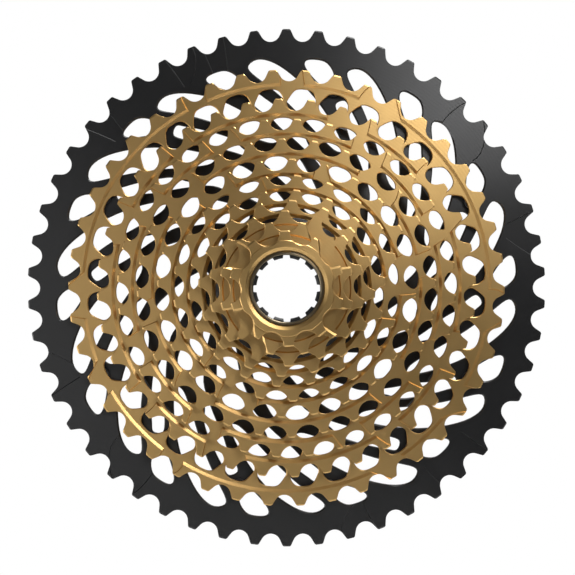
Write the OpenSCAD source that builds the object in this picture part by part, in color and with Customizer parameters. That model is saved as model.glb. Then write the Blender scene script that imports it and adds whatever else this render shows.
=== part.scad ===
// Twelve-speed bicycle cassette: eleven steel sprockets in a stepped dome, one large
// alloy sprocket with a spider and a splined hub, and a lockring tube in the middle.
//
// Every module below is drawn with the axle along Z, the hub's back seat at Z = 0 and
// the smallest sprocket in front, at the highest Z. upright() then turns the axle to
// lie along Y, with the smallest sprocket towards -Y and clock angle 0 straight up.
// A clock angle is read clockwise from the top, looking at the smallest sprocket.

/* [Chain] */
// Chain pitch
chain_pitch = 12.7; // [12.65:0.05:12.75]
// Radius of the round seat under a chain roller
seat_r = 3.95; // [3.9:0.01:4]

/* [Sprockets] */
// Distance from one sprocket to the next along the axle
spacing = 3.65; // [3.6:0.01:3.7]
// Distance from the hub's back seat to the middle of the largest sprocket
first_z = 1.8; // [1.6:0.1:2]
// Thickness of a steel tooth band
band_t = 1.6; // [1.55:0.05:1.7]
// Thickness of a steel web, behind the step
web_t = 0.9; // [0.85:0.05:1]
// Width of the sloping step between tooth band and web
step_w = 1.1; // [0.8:0.1:1.1]
// Width of that step on the 14T and 12T sprockets
small_step_w = 0.5; // [0.4:0.05:0.6]
// Distance from a tooth root in to the top of the step
step_in = 0.85; // [0.75:0.05:0.85]

/* [Alloy sprocket and hub] */
// Thickness of the alloy tooth band and rim
alloy_t = 2.2; // [2:0.1:2.4]
// Extra thickness of the spider arms inside the rim
arm_extra = 1; // [0.6:0.1:1.2]
// Outer radius of the hub flange
hub_r = 29.5; // [29:0.5:30]
// Outer radius of the hub barrel
barrel_r = 22.5; // [21:0.5:23]
// Height of the hub from its back seat
hub_h = 13; // [12:0.5:14]
// Radius of the smooth bore that centres the cassette on the wheel's driver
driver_r = 18.9; // [18.7:0.1:19.1]
// Length of that smooth bore, from the back seat
driver_l = 4; // [3.5:0.5:5]
// Radius at the tips of the driver splines
spline_r = 17.5; // [17.3:0.1:17.6]
// Depth of the grooves between the driver splines
spline_depth = 1.1; // [0.8:0.1:1.1]
// Number of driver splines
spline_count = 12; // [8:1:14]

/* [Lockring tube] */
// Outer radius of the tube's front sleeve
tube_r = 13; // [12.9:0.05:13.1]
// Radial running clearance of the sleeve in the small sprockets
tube_fit = 0.05; // [0.03:0.01:0.08]
// Radius at the bottom of the tool notches
notch_r = 12.2; // [12.1:0.05:12.3]
// Radius at the tips of the tool splines
tool_r = 11.1; // [10.9:0.1:11.3]
// Depth of the tool splines
tool_depth = 7; // [5:0.5:8]
// Height of the plain lip in front of the tool splines
lip_h = 1.2; // [0.8:0.1:1.5]
// Inner radius of the thread that screws onto the driver
thread_r = 12.96; // [12.9:0.02:13]
// Length of the thread
thread_l = 11; // [8:1:13]
// Outer radius of the tube's threaded rear sleeve
rear_r = 14.7; // [14.5:0.1:15]

/* [Hidden] */

GOLD = "goldenrod";
BLACK = "dimgray";
STEEL = "silver";
$fn = 96;
eps = 0.01;

// Each sprocket from the back: teeth, clock angle of a tooth, tip height above the pitch circle,
// how much wider than the roller seat its gaps are drawn, and half angle of a gap's round part
SPROCKETS = [[50, 7.15, 1, 0, 63], [42, 4.9, 0.5, 0, 58], [36, 7.5, 0.8, 0.45, 63],
             [32, 3.5, 0.6, 0.75, 64], [28, 10.85, 0.6, 0.95, 65], [24, 2.4, 0.55, 0.95, 65],
             [21, 5.3, 0.2, 0.95, 65], [18, 5.8, 0.4, 0.95, 65], [16, 3.7, 0.3, 0.95, 65],
             [14, 24, 0.2, 0.95, 65], [12, 14.4, 0.2, 1.25, 68], [10, 33.8, 0.5, 0.75, 75]];
// Web holes of the steel sprockets 36T to 16T, one for each gap of the next sprocket:
// clock angle of a hole, its width, distance from the tooth root in to its top
HOLES = [[9.9, 9.3, 2.6], [4.5, 9.2, 2.4], [10.2, 9.4, 2.15], [14, 8.4, 2.15],
         [16.1, 8.3, 2.15], [15.2, 6.8, 2.15], [11.2, 6.4, 2.15]];
// Web hole of the 42T sprocket, as clock angle and radius, smoothed through these points
LARGE_HOLE = [[0.4, 78.1], [1.7, 78], [3, 77.4], [3.9, 76], [4.3, 74.5], [4.4, 72.9], [4.1, 71],
              [2.4, 69.1], [0, 68.4], [-2.4, 69.1], [-4.1, 71], [-4.4, 72.9], [-3.7, 74.6],
              [-3, 76], [-2.1, 77.4], [-1, 78]];
LARGE_HOLE_CLOCK = 4.5;
// Shift ramps: sprocket, how many times the ramp comes and the angle between them, then the
// clock angles of its first edge at the step and at the tip, and of its second edge
RAMPS = [[0, 2, 172.8, 43.4, 44.4, 55.6, 48.4], [0, 2, 172.8, 74, 72.5, 77, 83],
         [0, 2, 172.8, 129.6, 129, 142.2, 140.5], [0, 2, 172.8, 160.4, 159, 162, 167],
         [1, 1, 0, -1.6, -1.6, 5.1, 3.9], [1, 1, 0, 21, 23, 35, 29.5], [1, 1, 0, 90.7, 92, 103, 98],
         [1, 1, 0, 119, 117.5, 131, 124], [1, 1, 0, 146, 143, 156, 150.5],
         [1, 1, 0, 211, 212.2, 217.5, 216.5], [1, 1, 0, 239.8, 238.3, 249.5, 244.5],
         [1, 1, 0, 261.3, 263, 275.2, 270], [1, 1, 0, 331, 331.2, 336.7, 338],
         [2, 2, 180, 14, 12, 28, 26.2], [2, 1, 0, 49, 48.6, 71.5, 68],
         [2, 1, 0, 229, 228.6, 240, 236], [2, 2, 180, 105, 103, 117.7, 117],
         [2, 2, 180, 140, 138, 149, 146], [3, 2, 180, 25, 24, 38, 36], [3, 2, 180, 62, 61, 74, 72],
         [3, 1, 0, 110, 108, 127.5, 126], [3, 1, 0, 293.6, 292, 307.4, 306],
         [3, 2, 180, 152, 150, 163, 160], [4, 2, 180, 32.5, 31, 51.5, 47.2],
         [4, 2, 180, 76, 74.8, 86, 83], [4, 2, 180, 122, 120, 141.8, 140],
         [5, 1, 0, 13.5, 14, 24, 18], [5, 3, 120, 75, 73, 93.5, 92],
         [6, 3, 120.5, 84, 82, 107.5, 105.5], [9, 2, 180, 18, 22, 45, 40],
         [10, 2, 180, 29, 16, 68, 71], [10, 2, 180, 111, 110, 136, 132],
         [11, 2, 180, 55, 31, 62.5, 67.5]];

// Windows of the alloy sprocket, as clock angle and radius, smoothed through these points
WINDOWS = 14;
FORK = [[17.2, 77.4], [19.5, 75], [23.8, 70.3], [27.5, 66.5], [31.4, 62.4], [34.5, 57],
        [39, 54], [47, 54], [55.6, 52.2], [61.4, 46.8], [67.9, 41], [72.5, 37], [76, 33.4],
        [74, 31], [66, 31], [59.6, 34.8], [54.6, 38.3], [46.4, 44.3], [41.5, 49.5],
        [32.7, 55.5], [24.3, 62.4], [20.3, 67.6], [16.9, 71.2], [15, 75]];
SLOT = [[18.3, 90.9], [15.8, 88], [19.2, 81.8], [28.5, 70.3], [36.5, 62.4], [44.7, 57.6],
        [48.4, 58.6], [45.5, 62.4], [38.7, 70.3], [29, 82], [22.5, 89]];
SMALL_HOLE = [[5, 90.2], [4.8, 87.8], [6.8, 84.2], [10.2, 80.8], [12.3, 82.5],
              [12.4, 86.5], [10.2, 90.2], [7.5, 90.9]];
// Windows whose outer end stays further from the rim's ramps, and by how much
LOW_SLOTS = [1, 6, 8, 9, 12];
LOW_HOLES = [2, 5, 6, 12, 13];
low_from = 80;
low_drop = 0.13;

// Steps along a roller seat, between two points of a window and round a web hole
SEAT_STEPS = 8;
SMOOTH = 3;
HOLE_STEP = 20;
HOLE_POWER = 2.4;
// Length cut off a tooth's corners
corner = 0.35;

// Drive pins between the alloy sprocket and the 42T sprocket
pin_r = 1.25;
pin_ring_r = 79.7;
boss_r = 2.3;
pin_bite = 0.6;

// Sprockets that are solid round the tube: the last three
SOLID_FROM = 9;
// How far a web runs in under the next sprocket's roots, and a hole does
web_lap = 1.75;
hole_lap = 0.9;
// Posts that carry a sprocket on the web behind it
post_w = 3.4;
post_in = 1.7;
post_out = 0.5;
// How far posts, collars and bosses run into the plate they carry
weld = 0.3;
// Raised flange in front of the smallest sprocket, and how far it dips at each gap
flange_r = 17.4;
flange_dip = 0.95;
flange_h = 0.9;
mouth_r = 15;
mouth_h = 0.65;
// Counterbore for the retaining ring, the ring's groove and its split
counter_r = 13.8;
ring_r = 13.5;
groove_r = 12.75;
ring_t = 1;
ring_split = 14;
ring_gap = 0.05;
// Ends of the tube
tube_front = 43.2;
tube_back = 19;
relief_r = 12.5;
// How far a ramp's milled area runs in past the step
ramp_lap = 0.4;
ramp_bulge = 3.5;
// Depth of the ramps on the alloy sprocket
alloy_ramp = 0.5;
// Heights of the hub flange and of the top of its sloping shoulder
flange_top = 4.2;
shoulder_top = 7.5;

function teeth(i) = SPROCKETS[i][0];
function tooth_clock(i) = SPROCKETS[i][1];
function pitch_r(i) = chain_pitch / (2 * sin(180 / teeth(i)));
function root_r(i) = pitch_r(i) - seat_r;
function tip_r(i) = pitch_r(i) + SPROCKETS[i][2];
function middle_z(i) = first_z + i * spacing;
function thickness(i) = i == 0 ? alloy_t : band_t;
function gap_r(i) = seat_r + SPROCKETS[i][3];
function gap_angle(i) = SPROCKETS[i][4];
function gap_v(i) = root_r(i) + gap_r(i);
function step_width(i) = i < SOLID_FROM ? step_w : small_step_w;
function back_z(i) = middle_z(i) - thickness(i) / 2;
function front_z(i) = middle_z(i) + thickness(i) / 2;
function web_front_z(i) = back_z(i) + web_t;
function web_inner_r(i) = i < SOLID_FROM ? root_r(i + 1) - web_lap : tube_r + tube_fit;
function pin_clock() = tooth_clock(1) + 360 / teeth(1);

// Point at a clock angle and radius
function at(clock, r) = [r * sin(clock), r * cos(clock)];

// Point at tangential and radial distances u and v from the axle, turned to a clock angle
function turned(u, v, clock) = [u * cos(clock) + v * sin(clock), v * cos(clock) - u * sin(clock)];

// Distance along a straight flank from the round part of a gap to the circle of radius r
function flank_l(i, r) =
    let (t = gap_angle(i), u = gap_r(i) * sin(t), v = gap_v(i) - gap_r(i) * cos(t),
         b = u * cos(t) + v * sin(t), c = u * u + v * v - r * r)
    -b + sqrt(b * b - c);

// Point on a flank, side -1 or 1, at a distance l from the round part of the gap
function flank_point(i, gap, side, l) =
    let (t = gap_angle(i))
    turned(side * (gap_r(i) * sin(t) + l * cos(t)), gap_v(i) - gap_r(i) * cos(t) + l * sin(t), gap);

// Point on the round part of a gap at angle t from its bottom
function seat_point(i, gap, t) = turned(gap_r(i) * sin(t), gap_v(i) - gap_r(i) * cos(t), gap);

// Outline of sprocket i: for each gap a corner, the round seat and the next corner
function tooth_outline(i) =
    let (n = teeth(i), full = flank_l(i, tip_r(i)), tip = flank_point(i, 0, 1, full),
         top_clock = atan2(tip[0], tip[1]) + corner / tip_r(i) * 180 / PI)
    [for (k = [0:n - 1]) let (gap = tooth_clock(i) + (k + 0.5) * 360 / n)
        each concat([at(gap - top_clock, tip_r(i)), flank_point(i, gap, -1, full - corner)],
                    [for (s = [0:SEAT_STEPS]) seat_point(i, gap, gap_angle(i) * (2 * s / SEAT_STEPS - 1))],
                    [flank_point(i, gap, 1, full - corner), at(gap + top_clock, tip_r(i))])];

// Smooth closed curve through a list of clock angles and radii
function spline(p0, p1, p2, p3, t) =
    0.5 * (2 * p1 + (p2 - p0) * t + (2 * p0 - 5 * p1 + 4 * p2 - p3) * t * t
           + (3 * p1 - p0 - 3 * p2 + p3) * t * t * t);
function smooth_window(points, turn, drop = 0, steps = SMOOTH) =
    let (n = len(points))
    [for (k = [0:n - 1], s = [0:steps - 1])
        let (q = spline(points[(k + n - 1) % n], points[k], points[(k + 1) % n],
                        points[(k + 2) % n], s / steps))
        at(q[0] + turn, q[1] - drop * max(0, q[1] - low_from))];

// Rounded web hole: a superellipse of the given width between two radii
function signed_root(x) = sign(x) * pow(abs(x), 2 / HOLE_POWER);
function hole_outline(width, top_r, bottom_r, clock) =
    let (mid = (top_r + bottom_r) / 2, half = (top_r - bottom_r) / 2)
    [for (a = [0:HOLE_STEP:359])
        turned(width / 2 * signed_root(cos(a)), mid + half * signed_root(sin(a)), clock)];

module upright() {
    rotate([90, 0, 0]) children();
}

module web_holes(i) {
    count = teeth(i + 1);
    for (k = [0:count - 1])
        if (i == 1)
            polygon(smooth_window(LARGE_HOLE, LARGE_HOLE_CLOCK + k * 360 / count, 0, 2));
        else
            polygon(hole_outline(HOLES[i - 2][1], root_r(i) - HOLES[i - 2][2],
                                 root_r(i + 1) - hole_lap, HOLES[i - 2][0] + k * 360 / count));
}

// Milled area of a shift ramp, from the step out past the tips, where it bulges clear of them
module ramp_area(ramp) {
    i = ramp[0];
    inner = root_r(i) - step_in - step_width(i) - ramp_lap;
    outer = tip_r(i) + 1;
    for (k = [0:ramp[1] - 1]) let (turn = k * ramp[2])
        polygon([at(ramp[3] + turn, inner), at(ramp[4] + turn, outer),
                 at((ramp[4] + ramp[6]) / 2 + turn, outer + ramp_bulge),
                 at(ramp[6] + turn, outer), at(ramp[5] + turn, inner)]);
}

module ramps(i, depth) {
    for (ramp = RAMPS)
        if (ramp[0] == i)
            translate([0, 0, front_z(i) - depth]) linear_extrude(depth + 1) ramp_area(ramp);
}

// Posts behind the teeth of sprocket i, standing on the web of the sprocket behind it
module posts(i) {
    floor_z = web_front_z(i - 1);
    for (k = [0:teeth(i) - 1])
        rotate([0, 0, -tooth_clock(i) - k * 360 / teeth(i)])
            translate([-post_w / 2, root_r(i) - post_in, floor_z])
                cube([post_w, post_in + post_out, back_z(i) + weld - floor_z]);
}

// Solid ring behind a small sprocket, standing on the web of the sprocket behind it
module collar(i) {
    floor_z = web_front_z(i - 1);
    translate([0, 0, floor_z]) difference() {
        cylinder(h = back_z(i) + weld - floor_z, r = root_r(i) - step_in);
        translate([0, 0, -1]) cylinder(h = spacing + 2, r = tube_r + tube_fit);
    }
}

// Plate of a steel sprocket: tooth band in front, recessed web with its holes behind
module steel_plate(i) {
    recess = band_t - web_t;
    top_r = root_r(i) - step_in;
    slope = step_width(i) / recess;
    difference() {
        translate([0, 0, back_z(i)]) linear_extrude(band_t) difference() {
            polygon(tooth_outline(i));
            if (i < SOLID_FROM) web_holes(i);
        }
        translate([0, 0, back_z(i) - 1]) cylinder(h = band_t + 2, r = web_inner_r(i));
        translate([0, 0, web_front_z(i)])
            cylinder(h = recess + 1, r1 = top_r - step_width(i), r2 = top_r + slope);
        ramps(i, recess);
    }
}

module steel_sprocket(i) {
    color(GOLD) upright() {
        steel_plate(i);
        if (i > 1 && i <= SOLID_FROM) posts(i);
        if (i > SOLID_FROM) collar(i);
    }
}

module sprocket_42t() {
    color(GOLD) upright() difference() {
        steel_plate(1);
        pin_positions() translate([0, 0, back_z(1) - 1]) cylinder(h = pin_bite + 1, r = pin_r);
    }
}

// Outline of the smallest sprocket's flange: round, with a dip in front of each gap
function flange_outline(i) =
    let (pitch = 360 / teeth(i))
    [for (k = [0:teeth(i) - 1], dip = [[-11, 0], [-8, 0.32], [-4, 0.84], [0, 1], [4, 0.84], [8, 0.32],
                                       [11, 0], [18, 0]])
        at(tooth_clock(i) + (k + 0.5) * pitch + dip[0], flange_r - dip[1] * flange_dip)];

// Smallest sprocket: tooth band, raised flange and the stepped mouth for the tube
module sprocket_10t() {
    i = len(SPROCKETS) - 1;
    top_z = front_z(i) + flange_h;
    color(GOLD) upright() difference() {
        union() {
            difference() {
                translate([0, 0, back_z(i)]) linear_extrude(band_t) polygon(tooth_outline(i));
                ramps(i, band_t - web_t);
            }
            translate([0, 0, web_front_z(i)])
                linear_extrude(band_t - web_t + flange_h) polygon(flange_outline(i));
            collar(i);
        }
        translate([0, 0, web_front_z(i - 1) - 1]) cylinder(h = spacing * 2, r = tube_r + tube_fit);
        translate([0, 0, ledge_z()]) cylinder(h = spacing, r = counter_r);
        translate([0, 0, top_z - mouth_h])
            cylinder(h = mouth_h * 2, r1 = counter_r, r2 = 2 * mouth_r - counter_r);
    }
}

// Front face of the ledge that the retaining ring bears on
function ledge_z() = back_z(len(SPROCKETS) - 1) + 0.15;

module pin_positions() {
    for (k = [0:WINDOWS - 1])
        rotate([0, 0, -pin_clock() - k * 360 / WINDOWS]) translate([0, pin_ring_r, 0]) children();
}

function drop_of(k, low) = len(search(k, low)) > 0 ? low_drop : 0;

module alloy_windows() {
    for (k = [0:WINDOWS - 1]) {
        polygon(smooth_window(FORK, k * 360 / WINDOWS));
        polygon(smooth_window(SLOT, k * 360 / WINDOWS, drop_of(k, LOW_SLOTS)));
        polygon(smooth_window(SMALL_HOLE, k * 360 / WINDOWS, drop_of(k, LOW_HOLES)));
    }
}

module driver_grooves() {
    pitch = 360 / spline_count;
    outer = spline_r + spline_depth;
    for (k = [0:spline_count - 1])
        polygon([at((k - 0.27) * pitch, spline_r - 1), at((k - 0.22) * pitch, outer),
                 at(k * pitch, outer), at((k + 0.22) * pitch, outer),
                 at((k + 0.27) * pitch, spline_r - 1)]);
}

// Hub body: flange at the arms, sloping shoulder and barrel
module hub() {
    cylinder(h = flange_top, r = hub_r);
    translate([0, 0, flange_top - weld])
        cylinder(h = shoulder_top - flange_top + weld, r1 = hub_r - 1, r2 = barrel_r);
    cylinder(h = hub_h, r = barrel_r);
}

// Alloy plate with its raised arms and pin bosses, pierced by the windows
module alloy_plate() {
    arm_r = root_r(2) - web_lap;
    difference() {
        union() {
            translate([0, 0, back_z(0)]) linear_extrude(alloy_t) polygon(tooth_outline(0));
            translate([0, 0, front_z(0) - weld])
                cylinder(h = arm_extra + weld, r1 = arm_r, r2 = arm_r - arm_extra);
        }
        translate([0, 0, -1]) linear_extrude(spacing * 2) alloy_windows();
        ramps(0, alloy_ramp);
    }
    pin_positions() translate([0, 0, front_z(0) - weld])
        cylinder(h = back_z(1) - front_z(0) + weld, r = boss_r);
}

module sprocket_50t() {
    color(BLACK) upright() difference() {
        union() {
            alloy_plate();
            hub();
        }
        translate([0, 0, -1]) cylinder(h = driver_l + 1, r = driver_r);
        translate([0, 0, -1]) cylinder(h = hub_h + 2, r = spline_r);
        translate([0, 0, driver_l - eps]) linear_extrude(hub_h) driver_grooves();
        pin_positions() translate([0, 0, -1]) cylinder(h = spacing * 2, r = pin_r);
    }
}

module drive_pins() {
    color(STEEL) upright() pin_positions()
        translate([0, 0, back_z(0)]) cylinder(h = back_z(1) + pin_bite - back_z(0), r = pin_r);
}

// Tool notches: the round sleeve bore less twelve splines that reach in to the tool radius
module tool_socket() {
    pitch = 30;
    first = 14.5;
    difference() {
        circle(r = notch_r);
        for (k = [0:11])
            polygon([at(first + k * pitch - 10.8, notch_r + 1),
                     at(first + k * pitch + 10.8, notch_r + 1),
                     at(first + k * pitch + 8.2, tool_r), at(first + k * pitch, tool_r),
                     at(first + k * pitch - 8.2, tool_r)]);
    }
}

module lockring_tube() {
    shoulder_z = back_z(SOLID_FROM) - ring_gap;
    groove_z = ledge_z() + ring_gap;
    socket_z = tube_front - tool_depth;
    color(BLACK) upright() difference() {
        union() {
            translate([0, 0, tube_back]) cylinder(h = shoulder_z - tube_back, r = rear_r);
            translate([0, 0, tube_back]) cylinder(h = tube_front - tube_back, r = tube_r);
        }
        translate([0, 0, tube_back - 1]) cylinder(h = thread_l + 1, r = thread_r);
        translate([0, 0, tube_back - 1]) cylinder(h = socket_z - tube_back + 1, r = relief_r);
        translate([0, 0, socket_z - eps]) linear_extrude(tool_depth + 1) tool_socket();
        translate([0, 0, tube_front - lip_h]) cylinder(h = lip_h + 1, r = notch_r);
        translate([0, 0, groove_z]) difference() {
            cylinder(h = ring_t, r = tube_r + 1);
            translate([0, 0, -1]) cylinder(h = ring_t + 2, r = groove_r);
        }
    }
}

module retaining_ring() {
    color(STEEL) upright() translate([0, 0, ledge_z() + ring_gap]) difference() {
        cylinder(h = ring_t, r = ring_r);
        translate([0, 0, -1]) cylinder(h = ring_t + 2, r = groove_r);
        translate([0, 0, -1]) linear_extrude(ring_t + 2)
            polygon([[0, 0], at(-ring_split / 2, ring_r + 2), at(ring_split / 2, ring_r + 2)]);
    }
}

sprocket_50t();
sprocket_42t();
steel_sprocket(2);  // sprocket_36t
steel_sprocket(3);  // sprocket_32t
steel_sprocket(4);  // sprocket_28t
steel_sprocket(5);  // sprocket_24t
steel_sprocket(6);  // sprocket_21t
steel_sprocket(7);  // sprocket_18t
steel_sprocket(8);  // sprocket_16t
steel_sprocket(9);  // sprocket_14t
steel_sprocket(10);  // sprocket_12t
sprocket_10t();
drive_pins();
lockring_tube();
retaining_ring();
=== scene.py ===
"""Twelve-speed cassette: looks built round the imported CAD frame.

Sizes are in millimetres in the part's own frame, with the axle along local Z and the
smallest sprocket in front. world() turns a local point into the row frame, in metres.
A clock angle is read clockwise from the top, looking at the smallest sprocket.
"""
import math

import bmesh
import bpy
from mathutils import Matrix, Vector
from mathutils.geometry import tessellate_polygon

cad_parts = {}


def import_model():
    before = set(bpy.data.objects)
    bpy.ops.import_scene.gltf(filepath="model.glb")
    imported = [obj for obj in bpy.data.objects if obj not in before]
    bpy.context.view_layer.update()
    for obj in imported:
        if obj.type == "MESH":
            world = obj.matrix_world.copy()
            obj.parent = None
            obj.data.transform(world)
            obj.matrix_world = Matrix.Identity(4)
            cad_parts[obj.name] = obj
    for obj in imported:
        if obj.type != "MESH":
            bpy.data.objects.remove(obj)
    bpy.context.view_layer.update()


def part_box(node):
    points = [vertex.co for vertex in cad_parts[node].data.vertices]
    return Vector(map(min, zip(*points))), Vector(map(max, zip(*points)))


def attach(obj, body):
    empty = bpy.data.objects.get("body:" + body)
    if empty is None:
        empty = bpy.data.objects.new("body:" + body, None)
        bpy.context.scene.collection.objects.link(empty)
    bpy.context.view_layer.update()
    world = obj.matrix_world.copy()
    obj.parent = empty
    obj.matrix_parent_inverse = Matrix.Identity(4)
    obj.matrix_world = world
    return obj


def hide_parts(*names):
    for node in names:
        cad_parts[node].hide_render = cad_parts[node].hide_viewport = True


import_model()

MM = 0.001
scene = bpy.context.scene

# ---------------------------------------------------------------- driving sizes
CHAIN_PITCH = 12.7
# Roller seats, with the round corners and shortest straight flanks of the teeth
SEAT_R = 3.95
SEAT_STEPS = 12
CORNER = 0.35
MIN_FLANK = 0.02

# Plates: thickness at the teeth, at a steel web and of the alloy sprocket
BAND_T = 1.6
WEB_T = 0.9
ALLOY_T = 2.2
# The step from the tooth band down to the web: how far inside the roots, and its slope's width
STEP_IN = 0.85
STEP_W = 1.1
SMALL_STEP_W = 0.5
# Bevels of edges and web holes, and the deeper cut at a tooth's tip
EDGE = 0.1
HOLE_EDGE = 0.28
TIP_CUT = 0.55
TIP_DEPTH = 0.26
SMALLEST_TIP_DEPTH = 0.3
ALLOY_TIP_DEPTH = 0.5
# Shift ramps: how far their sides lean out, and how far they run in past the step
RAMP_SLOPE = 0.35
SMALL_RAMP_SLOPE = 0.8
RUN_IN = 0.6
ALLOY_RUN_IN = 6.5
RAMP_STEPS = 6
# How far a cutter stands clear of what it cuts
CLEAR = 1
# How deep one joined solid reaches into the next
WELD = 0.3
# Steps round a circle
ROUND_STEPS = 180
FINE_STEPS = 240
# Edges above this many degrees stay sharp, and points this near in metres are one
SHARP_ANGLE = 16
SAME_PLACE = 1e-7

# Outside of the lockring tube, and the play round it
TUBE_R = 13.0
TUBE_FIT = 0.05
# How far inside the next sprocket's roots a web and its holes end
WEB_LAP = 1.75
HOLE_LAP = 0.9
# Posts, with their cut corners and the wider foot that stands on the web
POST_W = 3.4
POST_IN = 1.7
POST_OUT = 0.5
POST_CORNER = 0.7
POST_SINK = 0.15
FOOT_GROW = 0.25
FOOT_H = 0.45

# Sprockets are numbered from 0, the largest, to 11, the smallest. A row here holds the count
# of teeth, clock angle of a tooth, tip height above the pitch circle, how much wider than the
# roller seat the gaps are, and half the angle of a gap's round part
SPROCKETS = [(50, 7.15, 1.0, 0.0, 63), (42, 4.9, 0.5, 0.0, 58), (36, 7.5, 0.8, 0.45, 63),
             (32, 3.5, 0.6, 0.75, 64), (28, 10.85, 0.6, 0.95, 65), (24, 2.4, 0.55, 0.95, 65),
             (21, 5.3, 0.2, 0.95, 65), (18, 5.8, 0.4, 0.95, 65), (16, 3.7, 0.3, 0.95, 65),
             (14, 24.0, 0.2, 0.95, 65), (12, 14.4, 0.2, 1.25, 68), (10, 33.8, 0.5, 0.75, 75)]
# Web holes of the steel sprockets 36T to 16T: clock angle of a hole, width, root to top
HOLES = {2: (9.9, 9.3, 2.6), 3: (4.5, 9.2, 2.4), 4: (10.2, 9.4, 2.15),
         5: (14.0, 8.4, 2.15), 6: (16.1, 8.3, 2.15), 7: (15.2, 6.8, 2.15), 8: (11.2, 6.4, 2.15)}
# Web hole of the 42T sprocket: clock angle and radius, smoothed through these points
LARGE_HOLE = [(0.4, 78.1), (1.7, 78), (3, 77.4), (3.9, 76), (4.3, 74.5), (4.4, 72.9), (4.1, 71),
              (2.4, 69.1), (0, 68.4), (-2.4, 69.1), (-4.1, 71), (-4.4, 72.9), (-3.7, 74.6),
              (-3, 76), (-2.1, 77.4), (-1, 78)]
LARGE_HOLE_CLOCK = 4.5
LARGE_HOLE_STEPS = 3
# Shift ramps: sprocket, how many times the ramp comes and the angle between them, then the
# clock angles of its first edge at its inner end, half way and past the tips, and the same
# three of its second edge
RAMPS = [
    (0, 2, 172.8, 43.4, 43.3, 44.4, 55.6, 54.0, 48.4),
    (0, 2, 172.8, 74.0, 73.3, 72.5, 77.0, 81.5, 84.0),
    (0, 1, 0, 129.6, 129.3, 129.0, 142.2, 142.0, 140.5),
    (0, 1, 0, 160.4, 160.2, 159.0, 162.0, 166.5, 167.5),
    (0, 1, 0, 310.7, 309.4, 308.1, 313.6, 314.3, 315.0),
    (0, 1, 0, 333.2, 332.6, 331.8, 334.8, 338.0, 338.4),
    (0, 1, 0, 341.2, 340.9, 340.4, 344.8, 345.4, 345.7),
    (1, 1, 0, -1.6, -1.6, -1.6, 5.1, 4.5, 3.9), (1, 1, 0, 21.0, 21.6, 23.0, 35.0, 32.0, 29.5),
    (1, 1, 0, 90.7, 90.6, 92.0, 103.0, 100.5, 98.0), (1, 1, 0, 119.0, 118.3, 117.5, 131.0, 126.5, 124.0),
    (1, 1, 0, 146.0, 144.5, 143.0, 156.0, 153.0, 150.5),
    (1, 1, 0, 211.0, 210.6, 212.2, 217.5, 217.0, 216.5),
    (1, 1, 0, 239.8, 239.0, 238.3, 249.5, 247.0, 244.5),
    (1, 1, 0, 261.3, 262.0, 263.0, 275.2, 272.5, 270.0),
    (1, 1, 0, 331.0, 331.0, 331.2, 336.7, 337.3, 338.0),
    (2, 2, 180, 14.0, 13.0, 12.0, 27.9, 27.0, 26.2), (2, 1, 0, 49.0, 48.3, 48.8, 71.5, 69.5, 68.0),
    (2, 1, 0, 229.0, 228.4, 228.6, 237.4, 236.9, 236.2),
    (2, 2, 180, 105.0, 104.0, 103.0, 117.7, 117.3, 117.0),
    (2, 1, 0, 140.0, 139.0, 138.0, 149.0, 147.6, 146.0),
    (2, 1, 0, 319.4, 318.9, 318.3, 327.4, 326.8, 326.4),
    (3, 2, 180, 25.0, 24.5, 24.0, 38.0, 37.0, 36.0), (3, 2, 180, 62.0, 61.6, 61.5, 74.0, 73.0, 72.0),
    (3, 1, 0, 110.0, 109.0, 108.0, 127.5, 126.8, 126.0),
    (3, 1, 0, 293.6, 293.0, 292.0, 307.4, 306.7, 306.0),
    (3, 2, 180, 152.0, 151.0, 150.0, 163.0, 161.5, 160.0),
    (4, 2, 180, 32.5, 31.8, 31.0, 51.5, 50.5, 47.2), (4, 2, 180, 76.0, 75.4, 74.8, 86.0, 84.5, 83.0),
    (4, 2, 180, 122.0, 121.0, 120.0, 141.8, 141.0, 140.0),
    (5, 1, 0, 13.5, 13.8, 14.0, 24.0, 20.0, 17.0), (5, 3, 120, 75.0, 74.0, 73.0, 93.5, 92.8, 92.0),
    (6, 3, 120.5, 84.0, 83.0, 82.0, 107.5, 106.5, 105.5),
    (9, 2, 180, 18.0, 19.5, 22.0, 45.0, 42.5, 40.0), (10, 2, 180, 29.0, 22.0, 16.0, 68.0, 69.5, 71.0),
    (10, 2, 180, 111.0, 110.5, 110.0, 136.0, 134.0, 132.0),
    (11, 2, 180, 55.0, 42.0, 31.0, 62.5, 65.0, 67.5)]
# Depth of the alloy sprocket's ramps. The steel ones go down to the web
ALLOY_RAMP = 0.5

# Windows of the alloy sprocket: clock angle and radius, smoothed through these points
WINDOWS = 14
FORK = [(17.2, 77.4), (19.5, 75), (23.8, 70.3), (27.5, 66.5), (31.4, 62.4), (34.5, 57),
        (39, 54), (47, 54), (55.6, 52.2), (61.4, 46.8), (67.9, 41), (72.5, 37), (76, 33.4),
        (74, 31), (66, 31), (59.6, 34.8), (54.6, 38.3), (46.4, 44.3), (41.5, 49.5),
        (32.7, 55.5), (24.3, 62.4), (20.3, 67.6), (16.9, 71.2), (15, 75)]
SLOT = [(18.3, 90.9), (15.8, 88), (19.2, 81.8), (28.5, 70.3), (36.5, 62.4), (44.7, 57.6),
        (48.4, 58.6), (45.5, 62.4), (38.7, 70.3), (29, 82), (22.5, 89)]
SMALL_HOLE = [(5, 90.2), (4.8, 87.8), (6.8, 84.2), (10.2, 80.8), (12.3, 82.5),
              (12.4, 86.5), (10.2, 90.2), (7.5, 90.9)]
# Windows whose outer end stays further in, by a share of their reach past a radius
LOW_SLOTS = (1, 6, 8, 9, 12)
LOW_HOLES = (2, 5, 6, 12, 13)
LOW_FROM = 80.0
LOW_DROP = 0.13

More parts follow.
